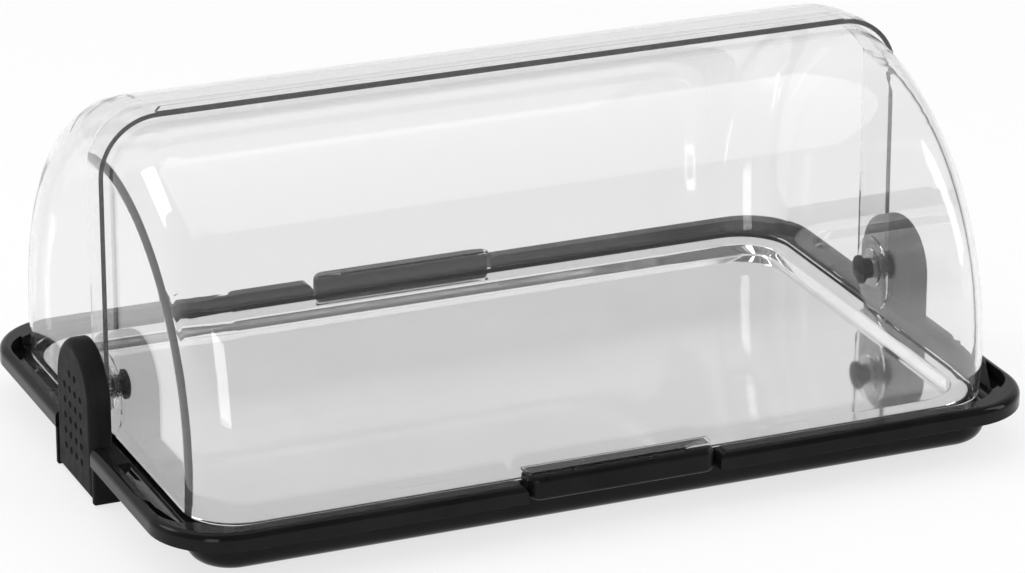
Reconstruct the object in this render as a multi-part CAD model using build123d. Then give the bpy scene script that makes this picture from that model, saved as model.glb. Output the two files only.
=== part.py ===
from build123d import *
import math
import os

# Countertop bread display bin, millimetres, +Z up.
# Origin at the centre of the plan on the resting plane. Length along X, the front faces -Y.

# Tray: the outline of a full-size serving tray, which the rest is built round
TRAY_HALF_X = 265.0
TRAY_HALF_Y = 162.5
TRAY_CORNER = 36.0
TRAY_SHEET = 1.0
TRAY_DEPTH = 7.1
FLANGE_SIDE = 10.0
FLANGE_FRONT = 13.5
TRAY_SLOPE_SIDE = 3.4
TRAY_SLOPE_FRONT = 5.5
TRAY_MOUTH_CORNER = 30.0
TRAY_FLOOR_CORNER = 26.0
TRAY_BODY_CLEAR = 1.2

# Heights of the base, each above the one before
FOOT_STAND = 4.0
TUB_DEPTH = 22.6
SHELF_RISE = 0.4
SHELF_THICK = 2.4
MOAT_DEPTH = 1.9
BEAD_STEP_RISE = 3.0
RIM_ABOVE_TRAY = 5.5
LEDGE_LOW_DROP = 5.8
LEDGE_HIGH_DROP = 1.5

# Tub
TUB_CORNER = 28.0
TUB_WALL = 3.0
TUB_FLOOR = 3.0
TUB_BOTTOM_ROUND = 12.0
TUB_SIDE_INSET = 23.6
TUB_FRONT_INSET = 17.6

# Hoods, turned about one axis through both pins
PIVOT_ABOVE_TRAY = 30.7
HOOD_WALL = 3.0
HOOD_GAP = 2.0
HOOD_SIDE_MARGIN = 6.8
HOOD_FRONT_MARGIN = 16.0
REAR_CORNER = 39.0
REAR_EDGE_Y = -8.5
REAR_MOAT_CLEAR = 1.9
FRONT_EDGE_Y = 23.0
FRONT_TRAY_CLEAR = 1.4
EAR_TRAY_CLEAR = 0.4
RIB_HEIGHT = 3.0
RIB_WIDTH = 3.0
RIB_END_INSET = 1.0
RIB_END_SLANT = 3.0
RIB_ROOT = 1.5
CREASE_RUN = 8.0
CREASE_BACK = 3.0
BOSS_HALF_WIDTH = 21.0
BOSS_DROP = 8.5
BOSS_PROUD = 1.0

# Moat, side ledges and rim, outwards from the hoods
MOAT_SIDE_CLEAR = 0.8
MOAT_CORNER = 34.0
SHELF_SIDE_CLEAR = 0.4
LEDGE_RUN = 9.2
RIDGE_STEP = 1.0
RIDGE_WIDTH = 8.4
LEDGE_END_GAP = 24.0
LEDGE_CORNER = 30.0
BEAD_WIDTH = 12.5
BEAD_STEP = 1.4
RIM_CORNER = 48.0
RIM_TOP_ROUND = 5.0
RIM_SKIN = 2.6

# Corner pockets
POCKET_INTO_RIDGE = 3.0
POCKET_FRONT_GAP = 22.0
POCKET_CORNER = 32.0
POCKET_END_GAP = 73.0
POCKET_INNER_GAP = 40.0

# Latch slots in the ledges
SLOT_IN = 3.2
SLOT_WIDTH = 4.0
SLOT_START_Y = 54.0
SLOT_LENGTH = 27.0

# Channels in the underside of the rim
CHANNEL_CORNER_GAP = 60.0
CHANNEL_NOTCH_GAP = 9.5
CHANNEL_TUB_GAP = 7.6
CHANNEL_SADDLE_GAP = 4.0
CHANNEL_SIDE_CORNER_GAP = 77.0

# Ledge and grip of each hood
GRIP_HALF_X = 62.0
GRIP_DEPTH = 15.2
GRIP_STEP = 10.8
GRIP_LIP = 0.6
GRIP_STEP_CLEAR = 2.0
GRIP_OUTER_INSET = 0.5
GRIP_ROUND = 3.0
GRIP_TOP_ROUND = 4.5
GRIP_END_ROUND = 8.0
GRIP_WALL_CLEAR = 1.0
PLATE_RISE = 3.4
PLATE_THICK = 1.6
PLATE_REACH = 5.0
PLATE_END_ROUND = 5.0
PEG_X = 42.0
PEG_REACH = 2.0
PEG_RADIUS = 2.2
PEG_LENGTH = 6.0
NOTCH_END_CLEAR = 2.2
NOTCH_END_ROUND = 6.0

# Pivot pins, washers and spacers
NECK_RADIUS = 5.0
NECK_CLEAR = 0.08
NECK_DEPTH = 8.0
BORE_END_CLEAR = 0.6
STEM_RADIUS = 6.8
STEM_LENGTH = 6.0
HEAD_RADIUS = 9.5
HEAD_RIM_THICK = 1.8
HEAD_DOME = 2.4
WASHER_RADIUS = 13.0
WASHER_THICK = 2.0
MID_WASHER_RADIUS = 15.0
SPACER_RADIUS = 7.5
AXIAL_CLEAR = 0.06

# Brackets
BRACKET_SET_IN = 0.8
BRACKET_OVER_RIM = 15.1
BRACKET_HALF_Y = 34.0
BRACKET_GROUND_GAP = 1.2
BRACKET_ROUND = 6.0
BRACKET_INNER_ROUND = 2.0
SADDLE_TUB_GAP = 6.0
SADDLE_PAST_PAD = 4.0
SADDLE_ROUND = 1.5
SADDLE_BOTTOM_ROUND = 1.0
SEAT_CLEAR = 0.1
RIM_NOTCH_DEPTH = 5.0
PANEL_HALF_Y = 27.0
PANEL_BELOW_PIVOT = 20.0
PANEL_ABOVE_PIVOT = 22.0
PANEL_DEPTH = 0.8
PANEL_BOSS_RADIUS = 11.0
DIMPLE_RADIUS = 2.6
DIMPLE_DEPTH = 1.2
DIMPLE_PITCH_Y = 10.1
DIMPLE_PITCH_Z = 10.3
DIMPLE_ABOVE_PIVOT = 10.3
DIMPLE_FULL_ROWS = 5
DIMPLE_COLUMNS = 4
LUG_MOAT_GAP = 1.6
LUG_INTO_SLOT = 7.0
LUG_THICK = 2.4
TAB_DEPTH = 4.0
TAB_CLEAR = 0.3
TAB_END_CLEAR = 1.0

# Rubber feet
FOOT_INSET = 40.0
FOOT_RADIUS = 9.0
FOOT_SUNK = 1.5
FOOT_SIDE_CLEAR = 0.1
FOOT_EDGE = 0.4

# Reach used to run cutters past the solids they cut
PAST = 20.0

# Heights that follow from the sizes above
TUB_BOTTOM = FOOT_STAND
RIM_BOTTOM = TUB_BOTTOM + TUB_DEPTH
SHELF_UNDER = RIM_BOTTOM + SHELF_RISE
MOAT_FLOOR = SHELF_UNDER + SHELF_THICK
SHELF_TOP = MOAT_FLOOR + MOAT_DEPTH
BEAD_STEP_TOP = SHELF_TOP + BEAD_STEP_RISE
TRAY_TOP = SHELF_TOP + TRAY_SHEET
TRAY_FLOOR_TOP = TRAY_TOP - TRAY_DEPTH
RIM_TOP = TRAY_TOP + RIM_ABOVE_TRAY
LEDGE_LOW = RIM_TOP - LEDGE_LOW_DROP
LEDGE_HIGH = RIM_TOP - LEDGE_HIGH_DROP
PIVOT_Z = TRAY_TOP + PIVOT_ABOVE_TRAY
REAR_LOWER_Z = MOAT_FLOOR + REAR_MOAT_CLEAR
FRONT_LOWER_Z = TRAY_TOP + FRONT_TRAY_CLEAR
FRONT_EAR_RADIUS = PIVOT_ABOVE_TRAY - EAR_TRAY_CLEAR
CHANNEL_TOP_BEAD = RIM_TOP - RIM_SKIN
CHANNEL_TOP_SIDE = LEDGE_LOW - RIM_SKIN
BOSS_LOWER_Z = PIVOT_Z - BOSS_DROP
PLATE_UNDER_Z = RIM_TOP + PLATE_RISE
PLATE_TOP_Z = PLATE_UNDER_Z + PLATE_THICK
GRIP_LOWER_Z = PLATE_UNDER_Z - GRIP_DEPTH
GRIP_STEP_Z = PLATE_UNDER_Z - GRIP_STEP
GRIP_LIP_Z = PLATE_UNDER_Z + GRIP_LIP
BRACKET_BOTTOM = BRACKET_GROUND_GAP
PANEL_LOW_Z = PIVOT_Z - PANEL_BELOW_PIVOT
PANEL_HIGH_Z = PIVOT_Z + PANEL_ABOVE_PIVOT
DIMPLE_LOW_Z = PIVOT_Z + DIMPLE_ABOVE_PIVOT - DIMPLE_FULL_ROWS * DIMPLE_PITCH_Z
LUG_TOP_Z = LEDGE_HIGH + LUG_THICK - LEDGE_HIGH_DROP

# Places along the length that follow
TRAY_MOUTH_HALF_X = TRAY_HALF_X - FLANGE_SIDE
TRAY_FLOOR_HALF_X = TRAY_MOUTH_HALF_X - TRAY_SLOPE_SIDE
REAR_HALF_X = TRAY_HALF_X + HOOD_SIDE_MARGIN
FRONT_HALF_X = REAR_HALF_X - HOOD_WALL - HOOD_GAP
FRONT_INNER_X = FRONT_HALF_X - HOOD_WALL
BOSS_FACE_X = FRONT_INNER_X - BOSS_PROUD
MOAT_HALF_X = REAR_HALF_X + MOAT_SIDE_CLEAR
LEDGE_HIGH_X = MOAT_HALF_X + LEDGE_RUN
RIDGE_INNER_X = LEDGE_HIGH_X + RIDGE_STEP
RIM_HALF_X = RIDGE_INNER_X + RIDGE_WIDTH
TUB_HALF_X = RIM_HALF_X - TUB_SIDE_INSET
POCKET_OUTER_X = RIDGE_INNER_X + POCKET_INTO_RIDGE
SLOT_X = MOAT_HALF_X + SLOT_IN
CHANNEL_SIDE_INNER = TUB_HALF_X + CHANNEL_TUB_GAP
CHANNEL_END_X = RIM_HALF_X - CHANNEL_CORNER_GAP
NOTCH_HALF_X = GRIP_HALF_X + NOTCH_END_CLEAR
CHANNEL_START_X = NOTCH_HALF_X + CHANNEL_NOTCH_GAP
RIB_HALF_LOW = REAR_HALF_X - REAR_CORNER + RIB_END_INSET
RIB_HALF_TOP = RIB_HALF_LOW - RIB_END_SLANT
STEM_END_X = BOSS_FACE_X - WASHER_THICK
HEAD_RIM_X = STEM_END_X - STEM_LENGTH
BRACKET_OUTER_X = RIM_HALF_X - BRACKET_SET_IN
BRACKET_INNER_X = RIM_HALF_X - BRACKET_OVER_RIM
PIN_END_X = BRACKET_INNER_X + NECK_DEPTH
BORE_END_X = PIN_END_X + BORE_END_CLEAR
SADDLE_INNER_X = TUB_HALF_X + SADDLE_TUB_GAP
RIM_NOTCH_X = RIM_HALF_X - RIM_NOTCH_DEPTH
LUG_INNER_X = MOAT_HALF_X + LUG_MOAT_GAP
FOOT_X = TUB_HALF_X - FOOT_INSET

# Places from front to back that follow
TRAY_MOUTH_HALF_Y = TRAY_HALF_Y - FLANGE_FRONT
TRAY_FLOOR_HALF_Y = TRAY_MOUTH_HALF_Y - TRAY_SLOPE_FRONT
REAR_RADIUS = TRAY_HALF_Y + HOOD_FRONT_MARGIN
FRONT_RADIUS = REAR_RADIUS - HOOD_WALL - HOOD_GAP
FRONT_CORNER = REAR_CORNER - HOOD_WALL - HOOD_GAP
BEAD_INNER_Y = REAR_RADIUS
BEAD_STEP_Y = BEAD_INNER_Y - BEAD_STEP
RIM_HALF_Y = BEAD_INNER_Y + BEAD_WIDTH
TUB_HALF_Y = RIM_HALF_Y - TUB_FRONT_INSET
LEDGE_HALF_Y = RIM_HALF_Y - LEDGE_END_GAP
POCKET_HALF_Y = RIM_HALF_Y - POCKET_FRONT_GAP
POCKET_END_Y = RIM_HALF_Y - POCKET_END_GAP
POCKET_INNER_Y = RIM_HALF_Y - POCKET_INNER_GAP
SLOT_END_Y = SLOT_START_Y + SLOT_LENGTH
SADDLE_HALF_Y = BRACKET_HALF_Y + SADDLE_PAST_PAD
CHANNEL_SIDE_START = SADDLE_HALF_Y + CHANNEL_SADDLE_GAP
CHANNEL_SIDE_END = RIM_HALF_Y - CHANNEL_SIDE_CORNER_GAP
GRIP_STEP_Y = BEAD_STEP_Y + GRIP_STEP_CLEAR
GRIP_OUTER_Y = RIM_HALF_Y - GRIP_OUTER_INSET
PLATE_OUTER_Y = REAR_RADIUS + PLATE_REACH
PEG_Y = REAR_RADIUS + PEG_REACH
LUG_END_Y = SLOT_START_Y + LUG_INTO_SLOT
TAB_START_Y = SLOT_START_Y + TAB_END_CLEAR
FOOT_Y = TUB_HALF_Y - FOOT_INSET
REACH_X = RIM_HALF_X + PAST
REACH_Y = RIM_HALF_Y + PAST
REACH_Z = PIVOT_Z + REAR_RADIUS + PAST


def block(low, high):
    """Box between two opposite corners."""
    size = [high[i] - low[i] for i in range(3)]
    return Pos(*low) * Box(*size, align=(Align.MIN, Align.MIN, Align.MIN))


def rounded_slab(half_x, half_y, corner, low, high):
    """Upright slab with rounded corners in plan, centred on the origin."""
    plan = Pos(0, 0, low) * RectangleRounded(2 * half_x, 2 * half_y, corner)
    return extrude(plan, high - low)


def along_x(radius, start, end, y=0.0, z=PIVOT_Z):
    """Round bar along X."""
    low = min(start, end)
    return Pos(low, y, z) * Rot(0, 90, 0) * Cylinder(
        radius, abs(end - start), align=(Align.CENTER, Align.CENTER, Align.MIN)
    )


def upright_bar(radius, height):
    """Round bar standing on its lower end at the origin."""
    return Cylinder(radius, height, align=(Align.CENTER, Align.CENTER, Align.MIN))


def edges_at(shape, axis, value, slack=0.05):
    """Edges whose every point keeps one coordinate."""
    return shape.edges().filter_by_position(axis, value - slack, value + slack)


def save(name, shape):
    """Writes one named piece."""
    export_step(shape, f"parts/{name}.step")


def rim_block():
    """Solid outline of the rim with its rounded top edge."""
    rim = rounded_slab(RIM_HALF_X, RIM_HALF_Y, RIM_CORNER, RIM_BOTTOM, RIM_TOP)
    return fillet(edges_at(rim, Axis.Z, RIM_TOP), RIM_TOP_ROUND)


def tub_block():
    """Hollow tub below the rim, open at the top."""
    tub = rounded_slab(TUB_HALF_X, TUB_HALF_Y, TUB_CORNER, TUB_BOTTOM, SHELF_UNDER + TUB_WALL)
    tub = fillet(edges_at(tub, Axis.Z, TUB_BOTTOM), TUB_BOTTOM_ROUND)
    well = rounded_slab(
        TUB_HALF_X - TUB_WALL,
        TUB_HALF_Y - TUB_WALL,
        TUB_CORNER - TUB_WALL,
        TUB_BOTTOM + TUB_FLOOR,
        SHELF_UNDER + TUB_WALL + PAST,
    )
    well = fillet(edges_at(well, Axis.Z, TUB_BOTTOM + TUB_FLOOR), TUB_BOTTOM_ROUND - TUB_WALL)
    return tub, well


def moat_cutter():
    """Space above the shelf and the ring-shaped moat round it."""
    above = rounded_slab(MOAT_HALF_X, BEAD_INNER_Y, MOAT_CORNER, BEAD_STEP_TOP, RIM_TOP + PAST)
    above += rounded_slab(MOAT_HALF_X, BEAD_STEP_Y, MOAT_CORNER, SHELF_TOP, BEAD_STEP_TOP)
    ring = rounded_slab(MOAT_HALF_X, BEAD_STEP_Y, MOAT_CORNER, MOAT_FLOOR, SHELF_TOP)
    ring -= rounded_slab(
        TRAY_HALF_X + SHELF_SIDE_CLEAR,
        TRAY_HALF_Y + SHELF_SIDE_CLEAR,
        TRAY_CORNER,
        MOAT_FLOOR - PAST,
        SHELF_TOP + PAST,
    )
    return above + ring


def tray_opening():
    """Opening in the shelf that the body of the tray drops through."""
    return rounded_slab(
        TRAY_MOUTH_HALF_X + TRAY_SHEET + TRAY_BODY_CLEAR,
        TRAY_MOUTH_HALF_Y + TRAY_SHEET + TRAY_BODY_CLEAR,
        TRAY_MOUTH_CORNER,
        RIM_BOTTOM,
        SHELF_TOP + PAST,
    )


def ledge_cutter():
    """Space above the two sloped side ledges."""
    run = MOAT_HALF_X - PAST
    slope = (LEDGE_HIGH - LEDGE_LOW) / (LEDGE_HIGH_X - MOAT_HALF_X)
    low = LEDGE_LOW - slope * PAST
    outline = Polyline(
        (run, low),
        (LEDGE_HIGH_X, LEDGE_HIGH),
        (RIDGE_INNER_X, RIM_TOP),
        (RIDGE_INNER_X, RIM_TOP + PAST),
        (run, RIM_TOP + PAST),
        close=True,
    )
    face = Plane.XZ * make_face(outline)
    wedge = extrude(face, LEDGE_HALF_Y, both=True)
    wedge &= rounded_slab(RIDGE_INNER_X, LEDGE_HALF_Y, LEDGE_CORNER, RIM_BOTTOM, RIM_TOP + PAST)
    wedge -= block(
        (-REACH_X, -REACH_Y, RIM_BOTTOM - PAST), (MOAT_HALF_X - PAST / 2, REACH_Y, RIM_TOP + 2 * PAST)
    )
    return wedge + mirror(wedge, Plane.YZ)


def pocket_cutter():
    """Crescent-shaped pocket at each corner of the rim, outside the ledge."""
    shell = rounded_slab(POCKET_OUTER_X, POCKET_HALF_Y, POCKET_CORNER, MOAT_FLOOR, RIM_TOP + PAST)
    outline = Polyline(
        (MOAT_HALF_X, POCKET_INNER_Y),
        (POCKET_OUTER_X, POCKET_END_Y),
        (POCKET_OUTER_X, POCKET_HALF_Y),
        (MOAT_HALF_X, POCKET_HALF_Y),
        close=True,
    )
    zone = extrude(Pos(0, 0, MOAT_FLOOR) * make_face(outline), RIM_TOP + PAST - MOAT_FLOOR)
    pocket = shell & zone
    pocket += mirror(pocket, Plane.XZ)
    return pocket + mirror(pocket, Plane.YZ)


def slot_cutter():
    """Latch slot through each ledge, turned half round from one side to the other."""
    slot = block(
        (-SLOT_X - SLOT_WIDTH / 2, -SLOT_END_Y, RIM_BOTTOM - PAST),
        (-SLOT_X + SLOT_WIDTH / 2, -SLOT_START_Y, RIM_TOP + PAST),
    )
    return slot + Rot(0, 0, 180) * slot


def notch_cutter():
    """Gap in the front and rear bead that each grip stands in, with rounded bead ends."""
    bend = NOTCH_HALF_X + NOTCH_END_ROUND
    start = RIM_TOP - NOTCH_END_ROUND
    offset = NOTCH_END_ROUND * (1 - math.sqrt(0.5))
    side = Line((NOTCH_HALF_X, RIM_BOTTOM - PAST), (NOTCH_HALF_X, start))
    side += ThreePointArc(
        (NOTCH_HALF_X, start), (NOTCH_HALF_X + offset, RIM_TOP - offset), (bend, RIM_TOP)
    )
    side += Polyline(
        (bend, RIM_TOP), (bend, RIM_TOP + PAST), (0, RIM_TOP + PAST), (0, RIM_BOTTOM - PAST),
        (NOTCH_HALF_X, RIM_BOTTOM - PAST),
    )
    half = extrude(Plane.XZ * make_face(side), REACH_Y)
    half -= block((-REACH_X, -BEAD_STEP_Y, -PAST), (REACH_X, REACH_Y, RIM_TOP + 2 * PAST))
    front = half + mirror(half, Plane.YZ)
    return front + mirror(front, Plane.XZ)


def channel_cutter():
    """Channels under the rim that keep its walls even."""
    inner = BEAD_INNER_Y + RIM_SKIN
    outer = RIM_HALF_Y - RIM_SKIN
    bead = block((CHANNEL_START_X, inner, RIM_BOTTOM - PAST), (CHANNEL_END_X, outer, CHANNEL_TOP_BEAD))
    side = block(
        (CHANNEL_SIDE_INNER, CHANNEL_SIDE_START, RIM_BOTTOM - PAST),
        (RIM_HALF_X - RIM_SKIN, CHANNEL_SIDE_END, CHANNEL_TOP_SIDE),
    )
    corner = bead + side
    corner += mirror(corner, Plane.YZ)
    return corner + mirror(corner, Plane.XZ)


def bracket_gap():
    """Flat-bottomed notch in the outer face of the rim for each bracket."""
    notch = block(
        (RIM_NOTCH_X, -BRACKET_HALF_Y - SEAT_CLEAR, RIM_BOTTOM - PAST),
        (REACH_X, BRACKET_HALF_Y + SEAT_CLEAR, RIM_TOP + PAST),
    )
    return notch + mirror(notch, Plane.YZ)


def foot_places():
    """Name and plan position of every foot."""
    for side_y, row in ((-1, "front"), (1, "rear")):
        for side_x, column in ((-1, "left"), (1, "right")):
            yield f"foot_{row}_{column}", side_x * FOOT_X, side_y * FOOT_Y


def base_frame():
    """Moulded base: tub, moat, tray shelf, side ledges and rim."""
    tub, well = tub_block()
    frame = tub + rim_block()
    shelf = rounded_slab(TUB_HALF_X, TUB_HALF_Y, TUB_CORNER, SHELF_UNDER, SHELF_TOP)
    frame -= well
    frame += shelf
    frame -= moat_cutter()
    frame -= tray_opening()
    frame -= ledge_cutter()
    frame -= pocket_cutter()
    frame -= slot_cutter()
    frame -= notch_cutter()
    frame -= channel_cutter()
    frame -= bracket_gap()
    for _, x, y in foot_places():
        frame -= Pos(x, y, TUB_BOTTOM) * upright_bar(FOOT_RADIUS + FOOT_SIDE_CLEAR, FOOT_SUNK)
    return frame


def foot(x, y):
    """Round rubber foot set into the underside of the tub."""
    pad = upright_bar(FOOT_RADIUS, FOOT_STAND + FOOT_SUNK)
    pad = chamfer(edges_at(pad, Axis.Z, 0.0), FOOT_EDGE)
    return Pos(x, y, 0) * pad


def tapered_slab(top, bottom):
    """Loft between two rounded rectangles, each given as half sizes, corner and height."""
    sections = []
    for half_x, half_y, corner, height in (bottom, top):
        sections.append(Pos(0, 0, height) * RectangleRounded(2 * half_x, 2 * half_y, corner))
    return loft(sections, ruled=True)


def tray():
    """Shallow sheet-metal tray with a flat flange."""
    sheet = TRAY_SHEET
    body = tapered_slab(
        (TRAY_MOUTH_HALF_X + sheet, TRAY_MOUTH_HALF_Y + sheet, TRAY_MOUTH_CORNER + sheet, TRAY_TOP),
        (
            TRAY_FLOOR_HALF_X + sheet,
            TRAY_FLOOR_HALF_Y + sheet,
            TRAY_FLOOR_CORNER + sheet,
            TRAY_FLOOR_TOP - sheet,
        ),
    )
    flange = rounded_slab(TRAY_HALF_X, TRAY_HALF_Y, TRAY_CORNER, SHELF_TOP, TRAY_TOP)
    hollow = tapered_slab(
        (TRAY_MOUTH_HALF_X, TRAY_MOUTH_HALF_Y, TRAY_MOUTH_CORNER, TRAY_TOP),
        (TRAY_FLOOR_HALF_X, TRAY_FLOOR_HALF_Y, TRAY_FLOOR_CORNER, TRAY_FLOOR_TOP),
    )
    return body + flange - hollow


def turned_drum(half_x, radius, corner, run=0.0, back=0.0):
    """Drum turned about the pivot axis, its ends joined to its skin by a rounded corner.

    The flat ends may run on past the start of the corner and come back to it in a short cone.
    """
    base = radius - corner
    start = math.asin((run + back) / corner)
    middle = (start + math.pi / 2) / 2
    points = [(-half_x, 0), (-half_x, base + run)]
    if run + back > 0:
        points.append((-half_x + corner - corner * math.cos(start), base + corner * math.sin(start)))
    end = (-half_x + corner, radius)
    bend = (-half_x + corner - corner * math.cos(middle), base + corner * math.sin(middle))
    outline = Polyline(*points)
    outline += ThreePointArc(points[-1], bend, end)
    outline += Line(end, (-end[0], end[1]))
    outline += ThreePointArc((-end[0], end[1]), (-bend[0], bend[1]), (-points[-1][0], points[-1][1]))
    outline += Polyline(*[(-x, r) for x, r in reversed(points)], (-half_x, 0))
    drum = revolve(Plane.XZ * make_face(outline), Axis.X, 360)
    return Pos(0, 0, PIVOT_Z) * drum


def drum_shell(half_x, radius, corner, run=0.0, back=0.0):
    """Hollow drum of even wall thickness, with a crease inside each end where one is asked for."""
    hollow = turned_drum(half_x - HOOD_WALL, radius - HOOD_WALL, corner - HOOD_WALL, run, back)
    return turned_drum(half_x, radius, corner) - hollow


def neck_holes():
    """Running bores for the necks of both pivot pins."""
    bore = along_x(NECK_RADIUS + NECK_CLEAR, HEAD_RIM_X, BRACKET_INNER_X)
    return bore + mirror(bore, Plane.YZ)


def grip_plate(radius):
    """Ledge with two pegs that carries the grip; built on the front side."""
    low = (-GRIP_HALF_X, -PLATE_OUTER_Y, PLATE_UNDER_Z)
    high = (GRIP_HALF_X, 0, PLATE_TOP_Z)
    plate = block(low, high)
    plate = fillet(
        plate.edges().filter_by(Axis.Z).filter_by_position(Axis.Y, low[1] - 1, low[1] + 1),
        PLATE_END_ROUND,
    )
    plate -= along_x(radius - HOOD_WALL / 2, -REACH_X, REACH_X)
    for x in (-PEG_X, PEG_X):
        peg = Cylinder(PEG_RADIUS, PEG_LENGTH, align=(Align.CENTER, Align.CENTER, Align.MAX))
        plate += Pos(x, -PEG_Y, PLATE_UNDER_Z) * peg
    return plate


def front_hood():
    """Inner hood, covering the front quarter and a strip behind the crown."""
    hood = drum_shell(FRONT_HALF_X, FRONT_RADIUS, FRONT_CORNER, CREASE_RUN, CREASE_BACK)
    hood &= block((-REACH_X, -REACH_Y, FRONT_LOWER_Z), (REACH_X, FRONT_EDGE_Y, REACH_Z))
    ear_zone = block((-REACH_X, 0, -PAST), (REACH_X, REACH_Y, PIVOT_Z))
    hood -= ear_zone - along_x(FRONT_EAR_RADIUS, -REACH_X, REACH_X)
    boss = along_x(BOSS_HALF_WIDTH, BOSS_FACE_X, FRONT_INNER_X)
    boss += along_x(BOSS_HALF_WIDTH, BOSS_FACE_X, FRONT_INNER_X, z=BOSS_LOWER_Z)
    boss += block(
        (BOSS_FACE_X, -BOSS_HALF_WIDTH, BOSS_LOWER_Z), (FRONT_INNER_X, BOSS_HALF_WIDTH, PIVOT_Z)
    )
    hood += boss + mirror(boss, Plane.YZ)
    hood += grip_plate(FRONT_RADIUS)
    return hood - neck_holes()


def rear_rib():
    """Raised rib along the front edge of the rear hood, its ends cut on the slant."""
    crown = PIVOT_Z + REAR_RADIUS
    outline = Polyline(
        (-RIB_HALF_LOW, crown - RIB_ROOT),
        (RIB_HALF_LOW, crown - RIB_ROOT),
        (RIB_HALF_LOW, crown),
        (RIB_HALF_TOP, crown + RIB_HEIGHT),
        (-RIB_HALF_TOP, crown + RIB_HEIGHT),
        (-RIB_HALF_LOW, crown),
        close=True,
    )
    rib = extrude(Plane.XZ * make_face(outline), -RIB_WIDTH)
    return Pos(0, REAR_EDGE_Y, 0) * rib


def rear_hood():
    """Outer hood, covering the rear half down to the moat."""
    hood = drum_shell(REAR_HALF_X, REAR_RADIUS, REAR_CORNER)
    hood &= block((-REACH_X, REAR_EDGE_Y, REAR_LOWER_Z), (REACH_X, REACH_Y, REACH_Z))
    hood += rear_rib()
    hood += mirror(grip_plate(REAR_RADIUS), Plane.XZ)
    return hood - neck_holes()


def grip(radius):
    """Lozenge-shaped grip under the ledge of a hood; built on the front side."""
    drop = PIVOT_Z - PLATE_UNDER_Z
    inner = math.sqrt(radius**2 - drop**2) + GRIP_WALL_CLEAR
    bar = block((-GRIP_HALF_X, -GRIP_OUTER_Y, GRIP_LOWER_Z), (GRIP_HALF_X, -inner, GRIP_LIP_Z))
    outer = bar.edges().filter_by(Axis.Z).filter_by_position(Axis.Y, -GRIP_OUTER_Y - 1, -GRIP_OUTER_Y + 1)
    bar = fillet(outer, GRIP_END_ROUND)
    upper = bar.faces().sort_by(Axis.Z)[-1].outer_wire().edges()
    bar = fillet(upper.filter_by_position(Axis.Y, -GRIP_OUTER_Y - 1, -inner - 1), GRIP_TOP_ROUND)
    lower = bar.faces().sort_by(Axis.Z)[0].outer_wire().edges()
    bar = fillet(lower.filter_by_position(Axis.Y, -GRIP_OUTER_Y - 1, -inner - 1), GRIP_ROUND)
    bar -= block((-REACH_X, -GRIP_STEP_Y, GRIP_LOWER_Z - PAST), (REACH_X, 0, GRIP_STEP_Z))
    bar -= block((-REACH_X, -PLATE_OUTER_Y, PLATE_UNDER_Z), (REACH_X, 0, GRIP_LIP_Z + PAST))
    for x in (-PEG_X, PEG_X):
        peg = Cylinder(PEG_RADIUS, PEG_LENGTH, align=(Align.CENTER, Align.CENTER, Align.MAX))
        bar -= Pos(x, -PEG_Y, PLATE_UNDER_Z) * peg
    return bar


def pivot_pin():
    """Pin of the right side: domed head, thick stem and long neck."""
    head = along_x(HEAD_RADIUS, HEAD_RIM_X - HEAD_RIM_THICK, HEAD_RIM_X)
    ball = (HEAD_RADIUS**2 + HEAD_DOME**2) / (2 * HEAD_DOME)
    dome = Pos(HEAD_RIM_X - HEAD_RIM_THICK - HEAD_DOME + ball, 0, PIVOT_Z) * Sphere(ball)
    dome &= along_x(HEAD_RADIUS, HEAD_RIM_X - HEAD_RIM_THICK - HEAD_DOME, HEAD_RIM_X - HEAD_RIM_THICK)
    stem = along_x(STEM_RADIUS, HEAD_RIM_X, STEM_END_X)
    neck = along_x(NECK_RADIUS, STEM_END_X, PIN_END_X)
    return head + dome + stem + neck


def ring(radius, start, end):
    """Round ring that fits the neck of the right pin."""
    return along_x(radius, start, end) - along_x(NECK_RADIUS, start - PAST, end + PAST)


def dimple_cutter():
    """Round dimples in rows on the outer face of the right bracket."""
    places = []
    middle = (DIMPLE_COLUMNS - 1) / 2
    for row in range(DIMPLE_FULL_ROWS + 1):
        for column in range(DIMPLE_COLUMNS):
            y = (column - middle) * DIMPLE_PITCH_Y
            if row == DIMPLE_FULL_ROWS and abs(y) > DIMPLE_PITCH_Y:
                continue
            places.append((y, DIMPLE_LOW_Z + row * DIMPLE_PITCH_Z))
    start = BRACKET_OUTER_X - DIMPLE_DEPTH
    end = BRACKET_OUTER_X + PAST
    return [along_x(DIMPLE_RADIUS, start, end, y, z) for y, z in places]


def bracket_panel():
    """Shallow panel in the inner face of the right bracket, leaving a boss round the bore."""
    panel = block(
        (BRACKET_INNER_X - PAST, -PANEL_HALF_Y, PANEL_LOW_Z),
        (BRACKET_INNER_X + PANEL_DEPTH, PANEL_HALF_Y, PANEL_HIGH_Z),
    )
    return panel - along_x(PANEL_BOSS_RADIUS, BRACKET_INNER_X - 2 * PAST, BRACKET_OUTER_X)


def bracket_pad():
    """Upright pad of the right bracket with a round top concentric with the pin."""
    pad = along_x(BRACKET_HALF_Y, BRACKET_INNER_X, BRACKET_OUTER_X)
    pad += block(
        (BRACKET_INNER_X, -BRACKET_HALF_Y, BRACKET_BOTTOM), (BRACKET_OUTER_X, BRACKET_HALF_Y, PIVOT_Z)
    )
    outer = edges_at(pad, Axis.X, BRACKET_OUTER_X)
    pad = fillet(outer, BRACKET_ROUND)
    inner = edges_at(pad, Axis.X, BRACKET_INNER_X)
    return fillet(inner.filter_by_position(Axis.Z, RIM_TOP, REACH_Z), BRACKET_INNER_ROUND)


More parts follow.
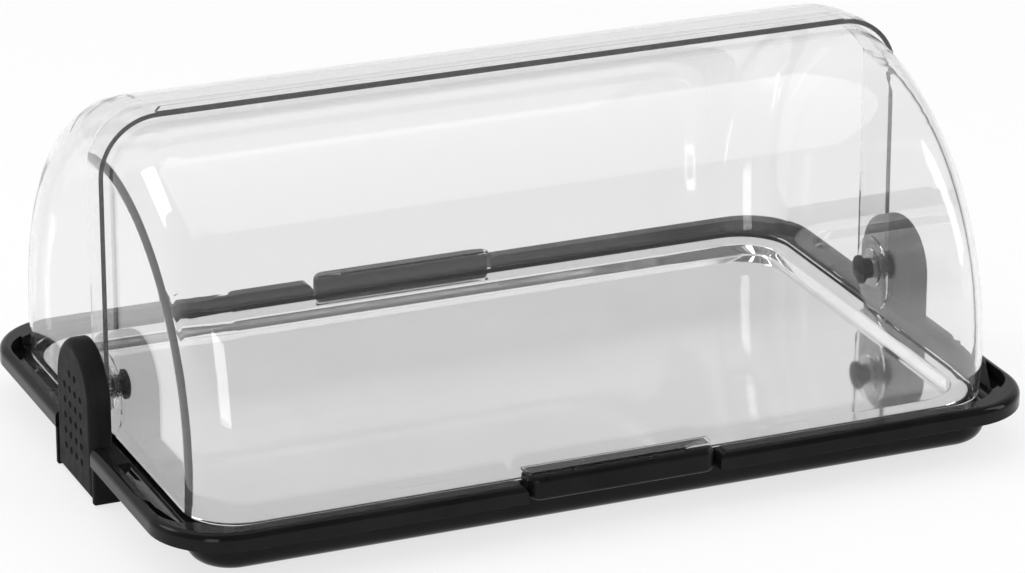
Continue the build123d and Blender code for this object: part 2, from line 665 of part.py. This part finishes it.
def bracket_saddle():
    """Block of the right bracket under the rim, standing past the pad as a rib at each side."""
    saddle = block(
        (SADDLE_INNER_X, -SADDLE_HALF_Y, BRACKET_BOTTOM), (BRACKET_OUTER_X, SADDLE_HALF_Y, RIM_BOTTOM)
    )
    upright = saddle.edges().filter_by(Axis.Z).filter_by_position(
        Axis.X, BRACKET_OUTER_X - 1, BRACKET_OUTER_X + 1
    )
    saddle = fillet(upright, SADDLE_ROUND)
    saddle = fillet(edges_at(saddle, Axis.Z, BRACKET_BOTTOM), SADDLE_BOTTOM_ROUND)
    return saddle - block(
        (BRACKET_OUTER_X - BRACKET_ROUND, -BRACKET_HALF_Y, BRACKET_BOTTOM - PAST),
        (REACH_X, BRACKET_HALF_Y, RIM_TOP),
    )


def bracket_lug():
    """Foot of the right bracket that lies on the ledge and hooks into its slot."""
    lug = block(
        (LUG_INNER_X, BRACKET_HALF_Y - PAST / 2, LEDGE_LOW - PAST),
        (LEDGE_HIGH_X, LUG_END_Y, LUG_TOP_Z),
    )
    tab = block(
        (SLOT_X - SLOT_WIDTH / 2 + TAB_CLEAR, TAB_START_Y, LEDGE_LOW - TAB_DEPTH),
        (SLOT_X + SLOT_WIDTH / 2 - TAB_CLEAR, LUG_END_Y, LUG_TOP_Z),
    )
    return lug & ledge_cutter(), tab


def bracket():
    """Right bracket: pad, saddle under the rim and hooked foot, cut to sit on the rim."""
    body = bracket_pad() + bracket_saddle()
    body -= dimple_cutter()
    body -= bracket_panel()
    body -= along_x(NECK_RADIUS, BRACKET_INNER_X - PAST, BORE_END_X)
    rim = rounded_slab(RIM_NOTCH_X + SEAT_CLEAR, REACH_Y, RIM_CORNER, RIM_BOTTOM, RIM_TOP)
    body -= rim - ledge_cutter()
    lug, tab = bracket_lug()
    return body + lug + tab


def side_pieces():
    """Every piece of the right pivot, under the name it has without its side."""
    return {
        "bracket": bracket(),
        "pivot_pin": pivot_pin(),
        "head_washer": ring(WASHER_RADIUS, STEM_END_X, BOSS_FACE_X - AXIAL_CLEAR),
        "mid_washer": ring(
            MID_WASHER_RADIUS, FRONT_HALF_X + AXIAL_CLEAR, REAR_HALF_X - HOOD_WALL - AXIAL_CLEAR
        ),
        "spacer": ring(SPACER_RADIUS, REAR_HALF_X + AXIAL_CLEAR, BRACKET_INNER_X),
    }


def main():
    """Builds every piece."""
    os.makedirs("parts", exist_ok=True)
    save("base_frame", base_frame())
    save("tray", tray())
    save("front_hood", front_hood())
    save("rear_hood", rear_hood())
    save("front_grip", grip(FRONT_RADIUS))
    save("rear_grip", mirror(grip(REAR_RADIUS), Plane.XZ))
    for name, shape in side_pieces().items():
        save(f"right_{name}", shape)
        save(f"left_{name}", Rot(0, 0, 180) * shape)
    for name, x, y in foot_places():
        save(name, foot(x, y))


main()
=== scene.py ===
import math

import bmesh
import bpy
from mathutils import Matrix, Vector


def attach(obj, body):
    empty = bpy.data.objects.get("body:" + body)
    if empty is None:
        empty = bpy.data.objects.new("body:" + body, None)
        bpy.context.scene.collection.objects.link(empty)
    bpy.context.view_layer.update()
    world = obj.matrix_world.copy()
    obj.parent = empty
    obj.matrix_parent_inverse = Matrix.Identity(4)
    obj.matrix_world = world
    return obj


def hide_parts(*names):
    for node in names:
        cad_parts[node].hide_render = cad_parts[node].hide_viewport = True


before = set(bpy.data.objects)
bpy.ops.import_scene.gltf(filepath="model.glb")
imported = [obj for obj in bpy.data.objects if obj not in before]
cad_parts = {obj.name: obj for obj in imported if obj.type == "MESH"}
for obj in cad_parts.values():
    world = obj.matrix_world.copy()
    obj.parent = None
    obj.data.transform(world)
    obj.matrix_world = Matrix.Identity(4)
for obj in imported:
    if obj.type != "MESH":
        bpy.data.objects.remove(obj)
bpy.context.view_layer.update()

MM = 0.001

# Rows of round dimples in the outer face of each bracket, in metres
PIVOT_Z = 63.0 * MM
PAD_X = 290.4 * MM
DIMPLE_DEPTH = 1.2 * MM
DIMPLE_RADIUS = 2.6 * MM
DIMPLE_PITCH_Y = 10.1 * MM
DIMPLE_PITCH_Z = 10.3 * MM
DIMPLE_TOP_RISE = 10.3 * MM
DIMPLE_COLUMNS = 4
DIMPLE_ROWS = 5
DIMPLE_TOP_COLUMNS = 2
DIMPLE_LOW_Z = PIVOT_Z + DIMPLE_TOP_RISE - DIMPLE_ROWS * DIMPLE_PITCH_Z
BALL_SEGMENTS = 32
BALL_RINGS = 20
PIT_TOLERANCE = 0.02 * MM

# Tray outlines as half length, half width, corner radius and height, in millimetres
TRAY_EDGE = (265.0, 162.5, 36.0, 32.3)
TRAY_MOUTH = (255.0, 149.0, 30.0, 32.3)
TRAY_FLOOR = (251.6, 143.5, 14.0, 25.2)
TRAY_SHEET = 1.0
TRAY_BEND = 1.6
TRAY_EDGE_ROUND = 0.3
TRAY_FLOOR_INSET = 10.0
UNDERSIDE_SPREAD = 0.4
LONGEST_BEND_SHARE = 0.45
BEND_STEPS = 6
CORNER_STEPS = 16

# Rounding of the pieces' edges, in metres, and what counts as sharp, flat or doubled
FRAME_EDGE = 0.5 * MM
GRIP_EDGE = 0.8 * MM
BRACKET_EDGE = 0.4 * MM
PIN_EDGE = 0.5 * MM
COLLAR_EDGE = 0.3 * MM
WASHER_EDGE = 0.2 * MM
FOOT_EDGE = 0.3 * MM
HOOD_EDGE = 0.35 * MM
GRIP_SEGMENTS = 3
SHARP_ANGLE = math.radians(35.0)
FLAT_ANGLE = math.radians(0.05)
MERGE_DISTANCE = 0.002 * MM

# Materials: noise scales in waves per metre, heights in metres, the rest as shares
NOISE_MIDDLE = (0.3, 0.7)
NOISE_ROUGHNESS = 0.5
PLASTIC_IOR = 1.5
PLASTIC_CLOUD = 30.0
PLASTIC_SMEAR = 140.0
PLASTIC_GRAIN_HEIGHT = 0.1 * MM
CLEAR_TINT = 0.95
CLEAR_IOR = 1.49
CLEAR_SHARE = 0.985
CLEAR_SMEAR = 25.0
CLEAR_HAZE = 0.02
CLEAR_SHADE = 0.94
STEEL_TONES = ((0.85, 0.852, 0.854, 1), (0.90, 0.902, 0.904, 1))
STEEL_GLOSS = (0.04, 0.09)
STEEL_CLOUD = 12.0
STEEL_SMEAR = 90.0
STEEL_RIPPLE = 9.0
STEEL_RIPPLE_SHARE = 0.15
STEEL_RIPPLE_HEIGHT = 0.3 * MM
RUBBER_TONES = (0.02, 0.045)
RUBBER_GLOSS = (0.7, 0.9)
RUBBER_GRAIN = 200.0

# Camera: which way it faces, where it looks, from how far, and how wide
CAMERA_TURN = math.radians(-23.016)
CAMERA_RISE = math.radians(21.254)
CAMERA_ROLL = math.radians(0.0455)
CAMERA_DISTANCE = 3.17134
CAMERA_TARGET = (5.734 * MM, 0.0, 88.42 * MM)
SENSOR_WIDTH = 36.0
FRAME_WIDTH = 1025.0
FOCAL_PIXELS = 4963.5

# Stage and lamps, in metres and shares
FLOOR_HALF = 6.0
FLOOR_GREY = 0.93
FLOOR_ROUGHNESS = 0.9
FLOOR_WHITENESS = 0.72
ROOM_LIGHT = 0.80
ROOM_DIM = 0.2
BACK_RANGE = (-0.1, 0.5)
LOW_RANGE = (0.05, 0.25)
LAMP_TARGET = (0, 0, 0.1)


# ---------------------------------------------------------------- mesh helpers

def new_object(name, mesh):
    """Links a mesh to the scene under a name."""
    mesh.name = name
    piece = bpy.data.objects.new(name, mesh)
    bpy.context.scene.collection.objects.link(piece)
    return piece


def object_from(name, points, faces):
    """Object from a list of points and faces."""
    mesh = bpy.data.meshes.new(name)
    mesh.from_pydata([tuple(p) for p in points], [], faces)
    mesh.validate()
    return new_object(name, mesh)


def bake_modifiers(piece):
    """Turns a piece's modifiers into a plain mesh."""
    graph = bpy.context.evaluated_depsgraph_get()
    mesh = bpy.data.meshes.new_from_object(piece.evaluated_get(graph))
    piece.modifiers.clear()
    old = piece.data
    piece.data = mesh
    mesh.name = piece.name
    bpy.data.meshes.remove(old)


def carve(piece, cutter):
    """Cuts a piece with a cutter, which is then dropped."""
    step = piece.modifiers.new("shape", "BOOLEAN")
    step.operation = "DIFFERENCE"
    step.solver = "EXACT"
    step.object = cutter
    bake_modifiers(piece)
    bpy.data.objects.remove(cutter)


def face_outward(piece):
    """Turns every face of a closed piece outward."""
    work = bmesh.new()
    work.from_mesh(piece.data)
    bmesh.ops.recalc_face_normals(work, faces=work.faces)
    work.to_mesh(piece.data)
    work.free()


def clean(piece):
    """Merges doubles and dissolves flat faces."""
    work = bmesh.new()
    work.from_mesh(piece.data)
    bmesh.ops.remove_doubles(work, verts=work.verts, dist=MERGE_DISTANCE)
    bmesh.ops.dissolve_limit(
        work,
        angle_limit=FLAT_ANGLE,
        verts=work.verts,
        edges=work.edges,
        delimit={"NORMAL"},
    )
    work.to_mesh(piece.data)
    work.free()
    return piece


def soften(piece, width, segments=2):
    """Rounds the sharp edges and shades the rest smooth."""
    for face in piece.data.polygons:
        face.use_smooth = True
    if width > 0:
        step = piece.modifiers.new("edges", "BEVEL")
        step.width = width
        step.segments = segments
        step.limit_method = "ANGLE"
        step.angle_limit = SHARP_ANGLE
        step.miter_outer = "MITER_ARC"
        bake_modifiers(piece)
    piece.data.set_sharp_from_angle(angle=SHARP_ANGLE)
    step = piece.modifiers.new("normals", "WEIGHTED_NORMAL")
    step.mode = "FACE_AREA"
    step.weight = 100
    step.keep_sharp = True
    bake_modifiers(piece)
    return piece


# ---------------------------------------------------------------- node helpers

def worked(tree, operation, first, second):
    """Result of one sum on two numbers or sockets."""
    node = tree.nodes.new("ShaderNodeMath")
    node.operation = operation
    for socket, value in zip(node.inputs, (first, second)):
        if isinstance(value, float):
            socket.default_value = value
        else:
            tree.links.new(value, socket)
    return node.outputs[0]


def mixed(tree, share, first, second, out):
    """Mixes two shaders by a share and sends them to an output."""
    mix = tree.nodes.new("ShaderNodeMixShader")
    tree.links.new(share, mix.inputs[0])
    tree.links.new(first.outputs[0], mix.inputs[1])
    tree.links.new(second.outputs[0], mix.inputs[2])
    tree.links.new(mix.outputs[0], out.inputs[0])


def ranged(tree, source, ends, results):
    """Maps one range of values onto another."""
    node = tree.nodes.new("ShaderNodeMapRange")
    node.inputs["From Min"].default_value, node.inputs["From Max"].default_value = ends
    node.inputs["To Min"].default_value, node.inputs["To Max"].default_value = results
    tree.links.new(source, node.inputs["Value"])
    return node.outputs[0]


# ---------------------------------------------------------------- pieces

def copy_of(node, name):
    """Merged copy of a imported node."""
    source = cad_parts[node]
    mesh = source.data.copy()
    piece = new_object(name, mesh)
    mesh.materials.clear()
    if "custom_normal" in mesh.attributes:
        mesh.attributes.remove(mesh.attributes["custom_normal"])
    return clean(piece)


def rounded_ring(half_x, half_y, corner, height):
    """Points round a rounded rectangle, in millimetres, anticlockwise from above."""
    points = []
    for quarter, (sx, sy) in enumerate(((1, 1), (-1, 1), (-1, -1), (1, -1))):
        for step in range(CORNER_STEPS + 1):
            turn = math.pi / 2 * (quarter + step / CORNER_STEPS)
            x = sx * (half_x - corner) + corner * math.cos(turn)
            y = sy * (half_y - corner) + corner * math.sin(turn)
            points.append(Vector((x, y, height)) * MM)
    return points


def between(first, second, share):
    """Outline part of the way from one outline to the next."""
    return tuple(a + (b - a) * share for a, b in zip(first, second))


def grown(outline, out, up=0.0):
    """Outline moved outward and up."""
    return (outline[0] + out, outline[1] + out, outline[2] + out, outline[3] + up)


def toward(corner, other):
    """Outline a bend's reach from a corner of the sheet toward another outline."""
    run = max(abs(other[0] - corner[0]), abs(other[3] - corner[3]))
    return between(corner, other, min(TRAY_BEND / run, LONGEST_BEND_SHARE))


def bend(before, corner, after):
    """Outlines that round the bend at a corner of the sheet."""
    start = toward(corner, before)
    end = toward(corner, after)
    rounded = []
    for step in range(BEND_STEPS + 1):
        t = step / BEND_STEPS
        shares = ((1 - t) ** 2, 2 * t * (1 - t), t**2)
        rounded.append(
            tuple(shares[0] * a + shares[1] * c + shares[2] * b for a, c, b in zip(start, corner, end))
        )
    return rounded


def tray_sheet(name):
    """Thin tray drawn as a run of outlines: flange, bend, sloped wall, bend and floor, then back beneath."""
    middle = between(TRAY_MOUTH, TRAY_FLOOR, 0.5)
    inner_floor = grown(TRAY_FLOOR, -TRAY_FLOOR_INSET)
    top = [grown(TRAY_EDGE, 0.0, -TRAY_EDGE_ROUND), grown(TRAY_EDGE, -TRAY_EDGE_ROUND)]
    top += bend(TRAY_EDGE, TRAY_MOUTH, middle)
    top += bend(middle, TRAY_FLOOR, inner_floor)
    top.append(inner_floor)
    under = [
        grown(inner_floor, 0.0, -TRAY_SHEET),
        grown(TRAY_FLOOR, TRAY_SHEET * UNDERSIDE_SPREAD, -TRAY_SHEET),
        grown(TRAY_MOUTH, TRAY_SHEET, -TRAY_SHEET),
        grown(TRAY_EDGE, 0.0, -TRAY_SHEET),
    ]
    rings = [rounded_ring(*outline) for outline in top + under]
    count = len(rings[0])
    points = [point for ring in rings for point in ring]
    faces = []
    for ring in range(len(rings)):
        here = ring * count
        there = (ring + 1) % len(rings) * count
        if ring == len(top) - 1:
            faces.append(tuple(here + step for step in range(count)))
            faces.append(tuple(there + step for step in reversed(range(count))))
            continue
        for step in range(count):
            after = (step + 1) % count
            faces.append((here + step, here + after, there + after, there + step))
    piece = object_from(name, points, faces)
    face_outward(piece)
    return piece


def dimple_tree():
    """Rows of round cutters: a full grid and a shorter row above it."""
    tree = bpy.data.node_groups.new("dimple rows", "GeometryNodeTree")
    ports = {}
    for label, kind in (
        ("Columns", "NodeSocketInt"),
        ("Rows", "NodeSocketInt"),
        ("Top columns", "NodeSocketInt"),
        ("Pitch along", "NodeSocketFloat"),
        ("Pitch up", "NodeSocketFloat"),
        ("Ball radius", "NodeSocketFloat"),
        ("Finish", "NodeSocketMaterial"),
    ):
        ports[label] = tree.interface.new_socket(label, in_out="INPUT", socket_type=kind).identifier
    tree.interface.new_socket("Geometry", in_out="OUTPUT", socket_type="NodeSocketGeometry")
    given = tree.nodes.new("NodeGroupInput").outputs
    out = tree.nodes.new("NodeGroupOutput")

    def span(count, pitch):
        return worked(tree, "MULTIPLY", worked(tree, "SUBTRACT", count, 1.0), pitch)

    grid = tree.nodes.new("GeometryNodeMeshGrid")
    tree.links.new(span(given["Columns"], given["Pitch along"]), grid.inputs["Size X"])
    tree.links.new(span(given["Rows"], given["Pitch up"]), grid.inputs["Size Y"])
    tree.links.new(given["Columns"], grid.inputs["Vertices X"])
    tree.links.new(given["Rows"], grid.inputs["Vertices Y"])
    line = tree.nodes.new("GeometryNodeMeshLine")
    tree.links.new(given["Top columns"], line.inputs["Count"])
    start = tree.nodes.new("ShaderNodeCombineXYZ")
    top_span = span(given["Top columns"], given["Pitch along"])
    half_rows = worked(tree, "MULTIPLY", worked(tree, "ADD", given["Rows"], 1.0), 0.5)
    tree.links.new(worked(tree, "MULTIPLY", top_span, -0.5), start.inputs[0])
    tree.links.new(worked(tree, "MULTIPLY", half_rows, given["Pitch up"]), start.inputs[1])
    step = tree.nodes.new("ShaderNodeCombineXYZ")
    tree.links.new(given["Pitch along"], step.inputs[0])
    tree.links.new(start.outputs[0], line.inputs["Start Location"])
    tree.links.new(step.outputs[0], line.inputs["Offset"])
    both = tree.nodes.new("GeometryNodeJoinGeometry")
    tree.links.new(grid.outputs["Mesh"], both.inputs[0])
    tree.links.new(line.outputs["Mesh"], both.inputs[0])
    ball = tree.nodes.new("GeometryNodeMeshUVSphere")
    ball.inputs["Segments"].default_value = BALL_SEGMENTS
    ball.inputs["Rings"].default_value = BALL_RINGS
    tree.links.new(given["Ball radius"], ball.inputs["Radius"])
    spots = tree.nodes.new("GeometryNodeInstanceOnPoints")
    tree.links.new(both.outputs[0], spots.inputs["Points"])
    tree.links.new(ball.outputs["Mesh"], spots.inputs["Instance"])
    real = tree.nodes.new("GeometryNodeRealizeInstances")
    tree.links.new(spots.outputs[0], real.inputs[0])
    painted = tree.nodes.new("GeometryNodeSetMaterial")
    tree.links.new(real.outputs[0], painted.inputs["Geometry"])
    tree.links.new(given["Finish"], painted.inputs["Material"])
    tree.links.new(painted.outputs[0], out.inputs[0])
    return tree, ports


def dimple_cutter(tree, ports, side, finish):
    """Balls that leave the rows of round hollows in the outer face of one bracket."""
    ball = (DIMPLE_RADIUS**2 + DIMPLE_DEPTH**2) / (2 * DIMPLE_DEPTH)
    cutter = new_object("cutter", bpy.data.meshes.new("cutter"))
    rows = cutter.modifiers.new("rows", "NODES")
    rows.node_group = tree
    for label, value in (
        ("Columns", DIMPLE_COLUMNS),
        ("Rows", DIMPLE_ROWS),
        ("Top columns", DIMPLE_TOP_COLUMNS),
        ("Pitch along", DIMPLE_PITCH_Y),
        ("Pitch up", DIMPLE_PITCH_Z),
        ("Ball radius", ball),
        ("Finish", finish),
    ):
        rows[ports[label]] = value
    bake_modifiers(cutter)
    grid_z = DIMPLE_LOW_Z + (DIMPLE_ROWS - 1) / 2 * DIMPLE_PITCH_Z
    centre = Vector((side * (PAD_X - DIMPLE_DEPTH + ball), 0.0, grid_z))
    along = Vector((0.0, 1.0, 0.0))
    up = Vector((0.0, 0.0, 1.0))
    basis = Matrix((along, up, along.cross(up))).transposed().to_4x4()
    cutter.data.transform(Matrix.Translation(centre) @ basis)
    return cutter


def plain_bracket(node, name):
    """Bracket with the flat-bottomed pits in its outer face filled up."""
    piece = copy_of(node, name)
    work = bmesh.new()
    work.from_mesh(piece.data)
    floor_x = PAD_X - DIMPLE_DEPTH
    middle_z = DIMPLE_LOW_Z + DIMPLE_ROWS / 2 * DIMPLE_PITCH_Z
    reach_y = DIMPLE_COLUMNS / 2 * DIMPLE_PITCH_Y
    reach_z = (DIMPLE_ROWS + 1) / 2 * DIMPLE_PITCH_Z
    pits = [
        v
        for v in work.verts
        if abs(abs(v.co.x) - floor_x) < PIT_TOLERANCE
        and abs(v.co.y) < reach_y
        and abs(v.co.z - middle_z) < reach_z
    ]
    bmesh.ops.delete(work, geom=pits, context="VERTS")
    rims = [edge for edge in work.edges if edge.is_boundary]
    bmesh.ops.edgeloop_fill(work, edges=rims)
    bmesh.ops.recalc_face_normals(work, faces=work.faces)
    work.to_mesh(piece.data)
    work.free()
    return clean(piece)


# ---------------------------------------------------------------- materials

def material(name):
    """Empty node material with its shader and output."""
    made = bpy.data.materials.new(name)
    made.use_nodes = True
    tree = made.node_tree
    tree.nodes.clear()
    out = tree.nodes.new("ShaderNodeOutputMaterial")
    shader = tree.nodes.new("ShaderNodeBsdfPrincipled")
    tree.links.new(shader.outputs[0], out.inputs[0])
    return made, tree, shader, out


def noise(tree, scale, detail=3.0):
    """Value of noise on object coordinates."""
    place = tree.nodes.new("ShaderNodeTexCoord")
    node = tree.nodes.new("ShaderNodeTexNoise")
    node.inputs["Scale"].default_value = scale
    node.inputs["Detail"].default_value = detail
    node.inputs["Roughness"].default_value = NOISE_ROUGHNESS
    tree.links.new(place.outputs["Object"], node.inputs["Vector"])
    return node.outputs[0]


def spread(tree, source, low, high):
    """Maps the middle of a noise's values onto a range."""
    return ranged(tree, source, NOISE_MIDDLE, (low, high))


def grey(value):
    """Neutral colour of one lightness."""
    return (value, value, value, 1)


def tone(tree, source, dark, light):
    """Mixes two colours by a value."""
    node = tree.nodes.new("ShaderNodeMix")
    node.data_type = "RGBA"
    node.inputs[6].default_value = dark
    node.inputs[7].default_value = light
    tree.links.new(source, node.inputs[0])
    return node.outputs[2]


def bump(tree, source, strength, distance):
    """Bump from a height."""
    node = tree.nodes.new("ShaderNodeBump")
    node.inputs["Strength"].default_value = strength
    node.inputs["Distance"].default_value = distance
    tree.links.new(source, node.inputs["Height"])
    return node.outputs[0]


def black_plastic(name, tones, gloss, grain, depth, specular):
    """Moulded black plastic: faint cloudy tone, uneven gloss and fine grain."""
    made, tree, shader, _ = material(name)
    cloud = spread(tree, noise(tree, PLASTIC_CLOUD, detail=4.0), 0.0, 1.0)
    tree.links.new(tone(tree, cloud, *map(grey, tones)), shader.inputs["Base Color"])
    tree.links.new(spread(tree, noise(tree, PLASTIC_SMEAR), *gloss), shader.inputs["Roughness"])
    relief = bump(tree, noise(tree, grain, detail=2.0), depth, PLASTIC_GRAIN_HEIGHT)
    tree.links.new(relief, shader.inputs["Normal"])
    shader.inputs["IOR"].default_value = PLASTIC_IOR
    shader.inputs["Specular IOR Level"].default_value = specular
    return made


def clear_plastic(name):
    """Clear moulded plastic with a trace of haze, which lets lamps through."""
    made, tree, shader, out = material(name)
    shader.inputs["Base Color"].default_value = grey(CLEAR_TINT)
    shader.inputs["Transmission Weight"].default_value = CLEAR_SHARE
    shader.inputs["IOR"].default_value = CLEAR_IOR
    tree.links.new(spread(tree, noise(tree, CLEAR_SMEAR), 0.0, CLEAR_HAZE), shader.inputs["Roughness"])
    through = tree.nodes.new("ShaderNodeBsdfTransparent")
    through.inputs[0].default_value = grey(CLEAR_SHADE)
    path = tree.nodes.new("ShaderNodeLightPath")
    mixed(tree, path.outputs["Is Shadow Ray"], shader, through, out)
    return made


def polished_steel(name):
    """Bright stainless sheet with a faint drawn ripple."""
    made, tree, shader, _ = material(name)
    cloud = spread(tree, noise(tree, STEEL_CLOUD), 0.0, 1.0)
    tree.links.new(tone(tree, cloud, *STEEL_TONES), shader.inputs["Base Color"])
    shader.inputs["Metallic"].default_value = 1.0
    gloss = spread(tree, noise(tree, STEEL_SMEAR, detail=4.0), *STEEL_GLOSS)
    tree.links.new(gloss, shader.inputs["Roughness"])
    ripple = noise(tree, STEEL_RIPPLE, detail=1.0)
    relief = bump(tree, ripple, STEEL_RIPPLE_SHARE, STEEL_RIPPLE_HEIGHT)
    tree.links.new(relief, shader.inputs["Normal"])
    return made


def rubber(name):
    """Matte black rubber."""
    made, tree, shader, _ = material(name)
    grain = noise(tree, RUBBER_GRAIN)
    tree.links.new(tone(tree, grain, *map(grey, RUBBER_TONES)), shader.inputs["Base Color"])
    tree.links.new(spread(tree, grain, *RUBBER_GLOSS), shader.inputs["Roughness"])
    return made


base_black = black_plastic(
    "base black", tones=(0.005, 0.009), gloss=(0.06, 0.11), grain=900.0, depth=0.02, specular=0.13
)
bracket_black = black_plastic(
    "bracket black", tones=(0.009, 0.015), gloss=(0.34, 0.44), grain=2200.0, depth=0.2, specular=0.02
)
grip_black = black_plastic(
    "grip black", tones=(0.004, 0.008), gloss=(0.26, 0.36), grain=2600.0, depth=0.15, specular=0.12
)
pin_black = black_plastic(
    "pin black", tones=(0.006, 0.011), gloss=(0.2, 0.3), grain=900.0, depth=0.05, specular=0.15
)
hood_clear = clear_plastic("hood clear")
tray_steel = polished_steel("tray steel")
foot_rubber = rubber("foot rubber")


# ---------------------------------------------------------------- build

def place(piece, body, node, slot, finish):
    """Gives a finished piece its material and body, and hides the imported node it stands for. The slot is
    not used.
    """
    piece.data.materials.clear()
    piece.data.materials.append(finish)
    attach(piece, body)
    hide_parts(node)


def dress(node, name, body, slot, finish, edge, segments=2):
    """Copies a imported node, rounds its edges and finishes it."""
    place(soften(copy_of(node, name), edge, segments), body, node, slot, finish)


dress("base_frame", "frame_moulding", "base", "base_black", base_black, FRAME_EDGE)
place(soften(tray_sheet("tray_sheet"), 0.0), "base", "tray", "tray_steel", tray_steel)
dress("front_grip", "front_grip_moulding", "front_cover", "grip_black", grip_black, GRIP_EDGE, GRIP_SEGMENTS)
dress("rear_grip", "rear_grip_moulding", "rear_cover", "grip_black", grip_black, GRIP_EDGE, GRIP_SEGMENTS)
dimples, dimple_ports = dimple_tree()
for side, sign in (("left", -1), ("right", 1)):
    bracket = plain_bracket(f"{side}_bracket", f"{side}_bracket_moulding")
    carve(bracket, dimple_cutter(dimples, dimple_ports, sign, bracket_black))
    place(soften(bracket, BRACKET_EDGE), "base", f"{side}_bracket", "bracket_black", bracket_black)
    dress(f"{side}_pivot_pin", f"{side}_pin_turning", "base", "pin_black", pin_black, PIN_EDGE)
    dress(f"{side}_spacer", f"{side}_collar", "base", "pin_black", pin_black, COLLAR_EDGE)
    dress(f"{side}_head_washer", f"{side}_clear_washer", "base", "clear", hood_clear, WASHER_EDGE)
    dress(f"{side}_mid_washer", f"{side}_clear_ring", "base", "clear", hood_clear, WASHER_EDGE)
for row in ("front", "rear"):
    for side in ("left", "right"):
        dress(f"foot_{row}_{side}", f"rubber_{row}_{side}", "base", "foot_rubber", foot_rubber, FOOT_EDGE)
dress("front_hood", "front_hood_shell", "front_cover", "clear", hood_clear, HOOD_EDGE)
dress("rear_hood", "rear_hood_shell", "rear_cover", "clear", hood_clear, HOOD_EDGE)


# ---------------------------------------------------------------- stage, light, camera

def seen_rays(tree):
    """One for rays that show a surface to the eye, directly, mirrored or through glass."""
    path = tree.nodes.new("ShaderNodeLightPath")
    total = path.outputs["Is Camera Ray"]
    for name in ("Is Transmission Ray", "Is Glossy Ray"):
        total = worked(tree, "MAXIMUM", total, path.outputs[name])
    return path, total


def stage_floor():
    """Wide pale floor: partly white by itself to the eye, so that its shadow is faint."""
    corners = [(x * FLOOR_HALF, y * FLOOR_HALF, 0.0) for x, y in ((-1, -1), (1, -1), (1, 1), (-1, 1))]
    floor = object_from("floor", corners, [(0, 1, 2, 3)])
    made, tree, shader, out = material("floor white")
    shader.inputs["Base Color"].default_value = grey(FLOOR_GREY)
    shader.inputs["Roughness"].default_value = FLOOR_ROUGHNESS
    shader.inputs["Specular IOR Level"].default_value = 0.0
    glow = tree.nodes.new("ShaderNodeEmission")
    glow.inputs[1].default_value = 1.0
    mixed(tree, worked(tree, "MULTIPLY", seen_rays(tree)[1], FLOOR_WHITENESS), shader, glow, out)
    floor.data.materials.append(made)


def world_light():
    """White backdrop behind and low down, a dim room high in front for mirrored rays, and even light."""
    world = bpy.data.worlds.new("studio")
    bpy.context.scene.world = world
    world.use_nodes = True
    tree = world.node_tree
    tree.nodes.clear()
    out = tree.nodes.new("ShaderNodeOutputWorld")
    seen = tree.nodes.new("ShaderNodeBackground")
    lamp = tree.nodes.new("ShaderNodeBackground")
    lamp.inputs[1].default_value = ROOM_LIGHT
    place = tree.nodes.new("ShaderNodeTexCoord")
    parts = tree.nodes.new("ShaderNodeSeparateXYZ")
    tree.links.new(place.outputs["Generated"], parts.inputs[0])
    back = ranged(tree, parts.outputs[1], BACK_RANGE, (ROOM_DIM, 1.0))
    low = ranged(tree, parts.outputs[2], LOW_RANGE, (1.0, 0.0))
    path, total = seen_rays(tree)
    lighter = worked(tree, "MAXIMUM", back, low)
    tree.links.new(worked(tree, "MAXIMUM", lighter, path.outputs["Is Camera Ray"]), seen.inputs[1])
    mixed(tree, total, lamp, seen, out)


def softbox(name, centre, width, height, watts):
    """Rectangular lamp aimed at the object."""
    lamp = bpy.data.lights.new(name, "AREA")
    lamp.shape = "RECTANGLE"
    lamp.size = width
    lamp.size_y = height
    lamp.energy = watts
    light = bpy.data.objects.new(name, lamp)
    bpy.context.scene.collection.objects.link(light)
    light.location = centre
    light.rotation_euler = (Vector(LAMP_TARGET) - Vector(centre)).to_track_quat("-Z", "Y").to_euler()


def camera():
    """Camera at the front left, a little above."""
    level = math.cos(CAMERA_RISE)
    back = Vector((math.sin(CAMERA_TURN) * level, -math.cos(CAMERA_TURN) * level, math.sin(CAMERA_RISE)))
    right = Vector((math.cos(CAMERA_TURN), math.sin(CAMERA_TURN), 0.0))
    up = back.cross(right)
    turned_right = right * math.cos(CAMERA_ROLL) + up * math.sin(CAMERA_ROLL)
    turned_up = up * math.cos(CAMERA_ROLL) - right * math.sin(CAMERA_ROLL)
    data = bpy.data.cameras.new("camera")
    data.sensor_width = SENSOR_WIDTH
    data.lens = FOCAL_PIXELS * SENSOR_WIDTH / FRAME_WIDTH
    eye = bpy.data.objects.new("camera", data)
    bpy.context.scene.collection.objects.link(eye)
    basis = Matrix((turned_right, turned_up, back)).transposed().to_4x4()
    eye.matrix_world = Matrix.Translation(Vector(CAMERA_TARGET) + back * CAMERA_DISTANCE) @ basis
    bpy.context.scene.camera = eye


stage_floor()
world_light()
softbox("overhead", (0.0, 0.3, 2.2), width=2.4, height=1.6, watts=10.0)
softbox("left strip", (-1.5, -1.9, 0.55), width=0.85, height=1.7, watts=18.0)
softbox("left high", (-1.65, 0.95, 1.65), width=0.9, height=0.9, watts=11.0)
softbox("right strip", (2.0, -0.8, 1.2), width=0.6, height=1.8, watts=14.0)
camera()

scene = bpy.context.scene
scene.view_settings.view_transform = "Standard"
scene.cycles.max_bounces = 24
scene.cycles.transmission_bounces = 20
scene.cycles.transparent_max_bounces = 24
scene.cycles.glossy_bounces = 8
scene.cycles.diffuse_bounces = 4
scene.cycles.caustics_reflective = False
